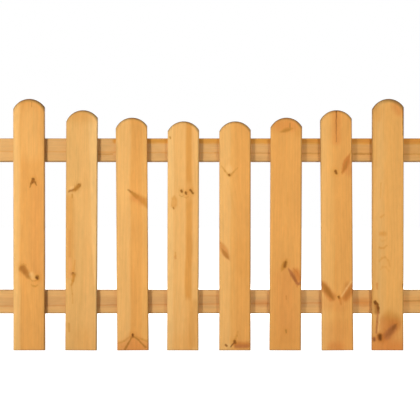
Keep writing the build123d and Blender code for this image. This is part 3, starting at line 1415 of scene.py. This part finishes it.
@dataclass
class ScrewRow:
    """The countersunk screws in one rail's back, two for each board, with a six-lobed recess."""

    rail: str
    sunk: float = 0.3 * MM
    head_radius: float = 4.0 * MM
    rim_height: float = 0.15 * MM
    cone_depth: float = 2.1 * MM
    shank_radius: float = 1.9 * MM
    tip_gap: float = 0.5 * MM
    recess_radius: float = 2.3 * MM
    recess_depth: float = 1.7 * MM
    recess_taper: float = 0.9
    recess_reach: float = 1.02
    lobe_pattern: tuple[float, ...] = (1.0, 0.9, 0.74, 0.9)
    lobe_offset: float = 0.25
    corners: int = 24
    hole_spacing: float = 12 * MM
    flat_margin: float = 6 * MM
    turn_step: float = 37.0
    smooth_angle: float = math.radians(32)

    def places(self) -> list[Vector]:
        """Finds the middles of the holes in the rail's back face, from left to right.

        Returns:
            The middle of each hole.
        """
        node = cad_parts[self.rail]
        low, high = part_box(self.rail)
        rims = [
            vertex.co
            for vertex in node.data.vertices
            if high.y - vertex.co.y < NEAR
            and low.z + self.flat_margin < vertex.co.z < high.z - self.flat_margin
            and low.x + self.flat_margin < vertex.co.x < high.x - self.flat_margin
        ]
        rims.sort(key=lambda corner: corner.x)
        holes = [[rims[0]]]
        for corner in rims[1:]:
            if corner.x - holes[-1][0].x > self.hole_spacing:
                holes.append([])
            holes[-1].append(corner)
        middles = []
        for hole in holes:
            xs = [corner.x for corner in hole]
            zs = [corner.z for corner in hole]
            middles.append(Vector(((min(xs) + max(xs)) / 2, high.y, (min(zs) + max(zs)) / 2)))
        return middles

    def screw(self, depth: float) -> bpy.types.Object:
        """Models one screw about the Y axis, with its head in the plane of the rail's back.

        Args:
            depth: how thick the rail is.

        Returns:
            The screw.
        """
        deselect_all()
        top = -self.sunk
        bpy.ops.mesh.primitive_circle_add(
            vertices=self.corners,
            radius=self.head_radius,
            fill_type="NGON",
            location=(0.0, top, 0.0),
            rotation=(-math.pi / 2, 0.0, 0.0),
        )
        screw = bpy.context.active_object
        bpy.ops.object.transform_apply(location=True, rotation=True, scale=True)
        bpy.ops.object.mode_set(mode="EDIT")
        bpy.ops.mesh.select_all(action="SELECT")
        steps = (
            (self.rim_height, 1.0),
            (self.cone_depth, self.shank_radius / self.head_radius),
            (depth - self.tip_gap - self.sunk - self.rim_height - self.cone_depth, 1.0),
        )
        for length, share in steps:
            bpy.ops.mesh.extrude_region_move(TRANSFORM_OT_translate={"value": (0.0, -length, 0.0)})
            bpy.ops.transform.resize(value=(share, 1.0, share))
        choose_corners(screw, lambda corner: corner.co.y > top - NEAR)
        bpy.ops.mesh.edge_face_add()
        choose_faces(screw, lambda face: face.calc_center_median().y > top - NEAR)
        bpy.ops.mesh.inset(thickness=self.head_radius - self.recess_radius)
        inner = self.recess_radius * self.recess_reach
        for place, share in enumerate(self.lobe_pattern):
            choose_corners(screw, lambda corner: self._in_lobe(corner.co, top, inner, place))
            bpy.ops.transform.resize(value=(share, 1.0, share))
        choose_faces(screw, lambda face: self._is_recess(face, top, inner))
        bpy.ops.mesh.extrude_region_move(TRANSFORM_OT_translate={"value": (0.0, -self.recess_depth, 0.0)})
        bpy.ops.transform.resize(value=(self.recess_taper, 1.0, self.recess_taper))
        bpy.ops.mesh.select_all(action="SELECT")
        bpy.ops.mesh.normals_make_consistent(inside=False)
        bpy.ops.object.mode_set(mode="OBJECT")
        bpy.ops.object.shade_smooth_by_angle(angle=self.smooth_angle)
        return screw

    def _in_lobe(self, corner: Vector, top: float, inner: float, place: int) -> bool:
        """Tells whether a corner of the inset face has a given place in each lobe's pattern.

        Args:
            corner: the corner's place.
            top: where the head's face is along Y.
            inner: a radius just beyond the recess's outline.
            place: the place in the pattern.

        Returns:
            Whether it has.
        """
        radius = math.hypot(corner.x, corner.z)
        if corner.y < top - NEAR or not NEAR < radius < inner:
            return False
        turn = math.atan2(corner.z, corner.x) / (2 * math.pi)
        step = round(turn * self.corners + self.lobe_offset)
        return step % len(self.lobe_pattern) == place

    def _is_recess(self, face: bmesh.types.BMFace, top: float, inner: float) -> bool:
        """Tells whether a face is the one inside the recess's outline.

        Args:
            face: the face.
            top: where the head's face is along Y.
            inner: a radius just beyond the recess's outline.

        Returns:
            Whether it is.
        """
        if face.calc_center_median().y < top - NEAR:
            return False
        return all(math.hypot(corner.co.x, corner.co.z) < inner for corner in face.verts)

    def build(self) -> None:
        """Models one screw, copies it into each hole and joins the row into one piece."""
        low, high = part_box(self.rail)
        first = self.screw(high.y - low.y)
        dress(first, PlatedSteel().material(f"{self.rail}_screw_steel"))
        screws = []
        for number, place in enumerate(self.places()):
            copy = first.copy()
            copy.data = first.data.copy()
            copy.location = place
            copy.rotation_euler = (0.0, math.radians(self.turn_step * number), 0.0)
            put_in_scene(copy)
            screws.append(copy)
        bpy.data.objects.remove(first, do_unlink=True)
        make_active(screws[0])
        for screw in screws:
            screw.select_set(True)
        bpy.ops.object.join()
        bpy.ops.object.transform_apply(location=True, rotation=True, scale=True)
        row = bpy.context.active_object
        row.name = f"{self.rail}_screws"
        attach(row, "root")
        log.info("%s: %d screws, %d faces", row.name, len(screws), len(row.data.polygons))


@dataclass
class Studio:
    """The camera, the lamps, the floor and the white surroundings."""

    distance: float = 4.0
    sensor: float = 36.0
    reach: float = 200.0
    key_x: float = -1.17
    key_distance: float = 1.5
    key_rise: float = 0.12
    key_share: float = 0.63
    key_radius: float = 0.16
    left_board_x: float = -0.57
    right_x: float = 1.77
    right_distance: float = 3.2
    right_aim_x: float = 0.66
    right_beam: float = 36.0
    right_share: float = 0.375
    right_radius: float = 0.15
    back_x: float = 0.4
    back_distance: float = 3.0
    back_rise: float = 0.3
    back_share: float = 0.6
    back_radius: float = 0.5
    floor_gap: float = 0.05
    floor_size: float = 60.0
    floor_grey: float = 0.62
    floor_glow: float = 0.86
    ambient: float = 0.375
    ambient_dip: float = 0.3
    dip_start: float = 0.2

    def camera(self) -> None:
        """Places the camera straight in front, where one pixel is as wide as the photo's."""
        low, high = CAD_BOX
        panel_middle = (low.x + high.x) / 2
        half_image = IMAGE_SIZE / 2
        x = panel_middle + (half_image - CENTRE_PIXEL_X) * MM_PER_PIXEL * MM
        z = low.z + (FOOT_PIXEL_Y - half_image) * MM_PER_PIXEL * MM
        data = bpy.data.cameras.new("camera")
        data.sensor_width = self.sensor
        data.lens = self.sensor * self.distance / (IMAGE_SIZE * MM_PER_PIXEL * MM)
        data.clip_end = self.reach
        camera = bpy.data.objects.new("camera", data)
        camera.location = (x, low.y - self.distance, z)
        camera.rotation_euler = (math.pi / 2, 0.0, 0.0)
        put_in_scene(camera)
        bpy.context.scene.camera = camera

    def lamp(
        self, kind: str, name: str, place: Vector, aim: Vector, share: float, radius: float
    ) -> bpy.types.Light:
        """Adds a lamp.

        Args:
            kind: POINT or SPOT.
            name: the lamp's name.
            place: where it stands.
            aim: the place on the panel's front that it is set by.
            share: how bright a white board is at the aim, as a share of white.
            radius: the lamp's own radius, for soft shadows.

        Returns:
            The lamp's settings.
        """
        way = aim - place
        data = bpy.data.lights.new(name, kind)
        # A lamp of 4 pi squared watts, 1 m straight in front, makes a white board as bright as white
        data.energy = share * 4 * math.pi**2 * way.length_squared / abs(way.normalized().y)
        data.shadow_soft_size = radius
        lamp = bpy.data.objects.new(name, data)
        lamp.location = place
        lamp.rotation_euler = way.to_track_quat("-Z", "Y").to_euler()
        put_in_scene(lamp)
        return data

    def lamps(self) -> None:
        """Lights the front by a near lamp on the left and a narrow one on the right, and the back softly."""
        low, high = CAD_BOX
        level = (low.z + high.z) / 2
        front = low.y
        place = Vector((self.key_x, front - self.key_distance, level + self.key_rise))
        aim = Vector((self.left_board_x, front, level))
        self.lamp("POINT", "key_lamp", place, aim, self.key_share, self.key_radius)
        place = Vector((self.right_x, front - self.right_distance, level + self.key_rise))
        aim = Vector((self.right_aim_x, front, level))
        right = self.lamp("SPOT", "right_lamp", place, aim, self.right_share, self.right_radius)
        right.spot_size = math.radians(self.right_beam)
        right.spot_blend = 1.0
        place = Vector((self.back_x, high.y + self.back_distance, level + self.back_rise))
        aim = Vector((0.0, high.y, level))
        self.lamp("POINT", "back_lamp", place, aim, self.back_share, self.back_radius)

    def camera_white(self, graph: Graph) -> Socket:
        """Finds the rays that show the surroundings, by eye, in gloss or through glass.

        Args:
            graph: the graph that asks.

        Returns:
            1 for such rays and 0 for others.
        """
        path = graph.add("ShaderNodeLightPath")
        seen = graph.math("MAXIMUM", path.outputs["Is Camera Ray"], path.outputs["Is Glossy Ray"])
        return graph.math("MAXIMUM", seen, path.outputs["Is Transmission Ray"])

    def world(self) -> None:
        """Makes the surroundings white to look at, with an even dim light on the panel."""
        world = bpy.data.worlds.new("studio")
        bpy.context.scene.world = world
        graph = empty_graph(world)
        way = graph.add("ShaderNodeTexCoord").outputs["Generated"]
        steep = graph.math("ABSOLUTE", graph.add("ShaderNodeSeparateXYZ", {0: way}).outputs["Z"])
        dimmest = self.ambient * (1 - self.ambient_dip)
        dim = graph.span(steep, self.dip_start, 1.0, self.ambient, dimmest)
        strength = graph.math("MAXIMUM", self.camera_white(graph), dim)
        light = graph.add("ShaderNodeBackground", {"Color": WHITE, "Strength": strength})
        graph.show(light, "ShaderNodeOutputWorld")

    def floor(self) -> None:
        """Lays a pale floor a little below the boards' feet. It is near white and keeps the shadow."""
        deselect_all()
        height = CAD_BOX[0].z - self.floor_gap
        bpy.ops.mesh.primitive_plane_add(size=self.floor_size, location=(0.0, 0.0, height))
        floor = bpy.context.active_object
        floor.name = "floor"
        material = bpy.data.materials.new("floor")
        graph = empty_graph(material)
        grey = (self.floor_grey, self.floor_grey, self.floor_grey, 1.0)
        matt = graph.add("ShaderNodeBsdfDiffuse", {"Color": grey})
        strength = graph.math("MULTIPLY", self.camera_white(graph), self.floor_glow)
        glow = graph.add("ShaderNodeEmission", {"Color": WHITE, "Strength": strength})
        graph.show(graph.add("ShaderNodeAddShader", {0: matt.outputs[0], 1: glow.outputs[0]}))
        dress(floor, material)

    def build(self) -> None:
        """Builds the whole studio."""
        self.camera()
        self.lamps()
        self.world()
        self.floor()
        bpy.context.scene.view_settings.view_transform = "Standard"


def main() -> None:
    """Builds the studio and dresses the panel, in order."""
    logging.basicConfig(level=logging.INFO, format="%(name)s: %(message)s")
    Studio().build()
    PicketRow().build()
    RailPair().build()
    ScrewRow("upper_rail").build()
    ScrewRow("lower_rail").build()


if __name__ == "__main__":
    main()
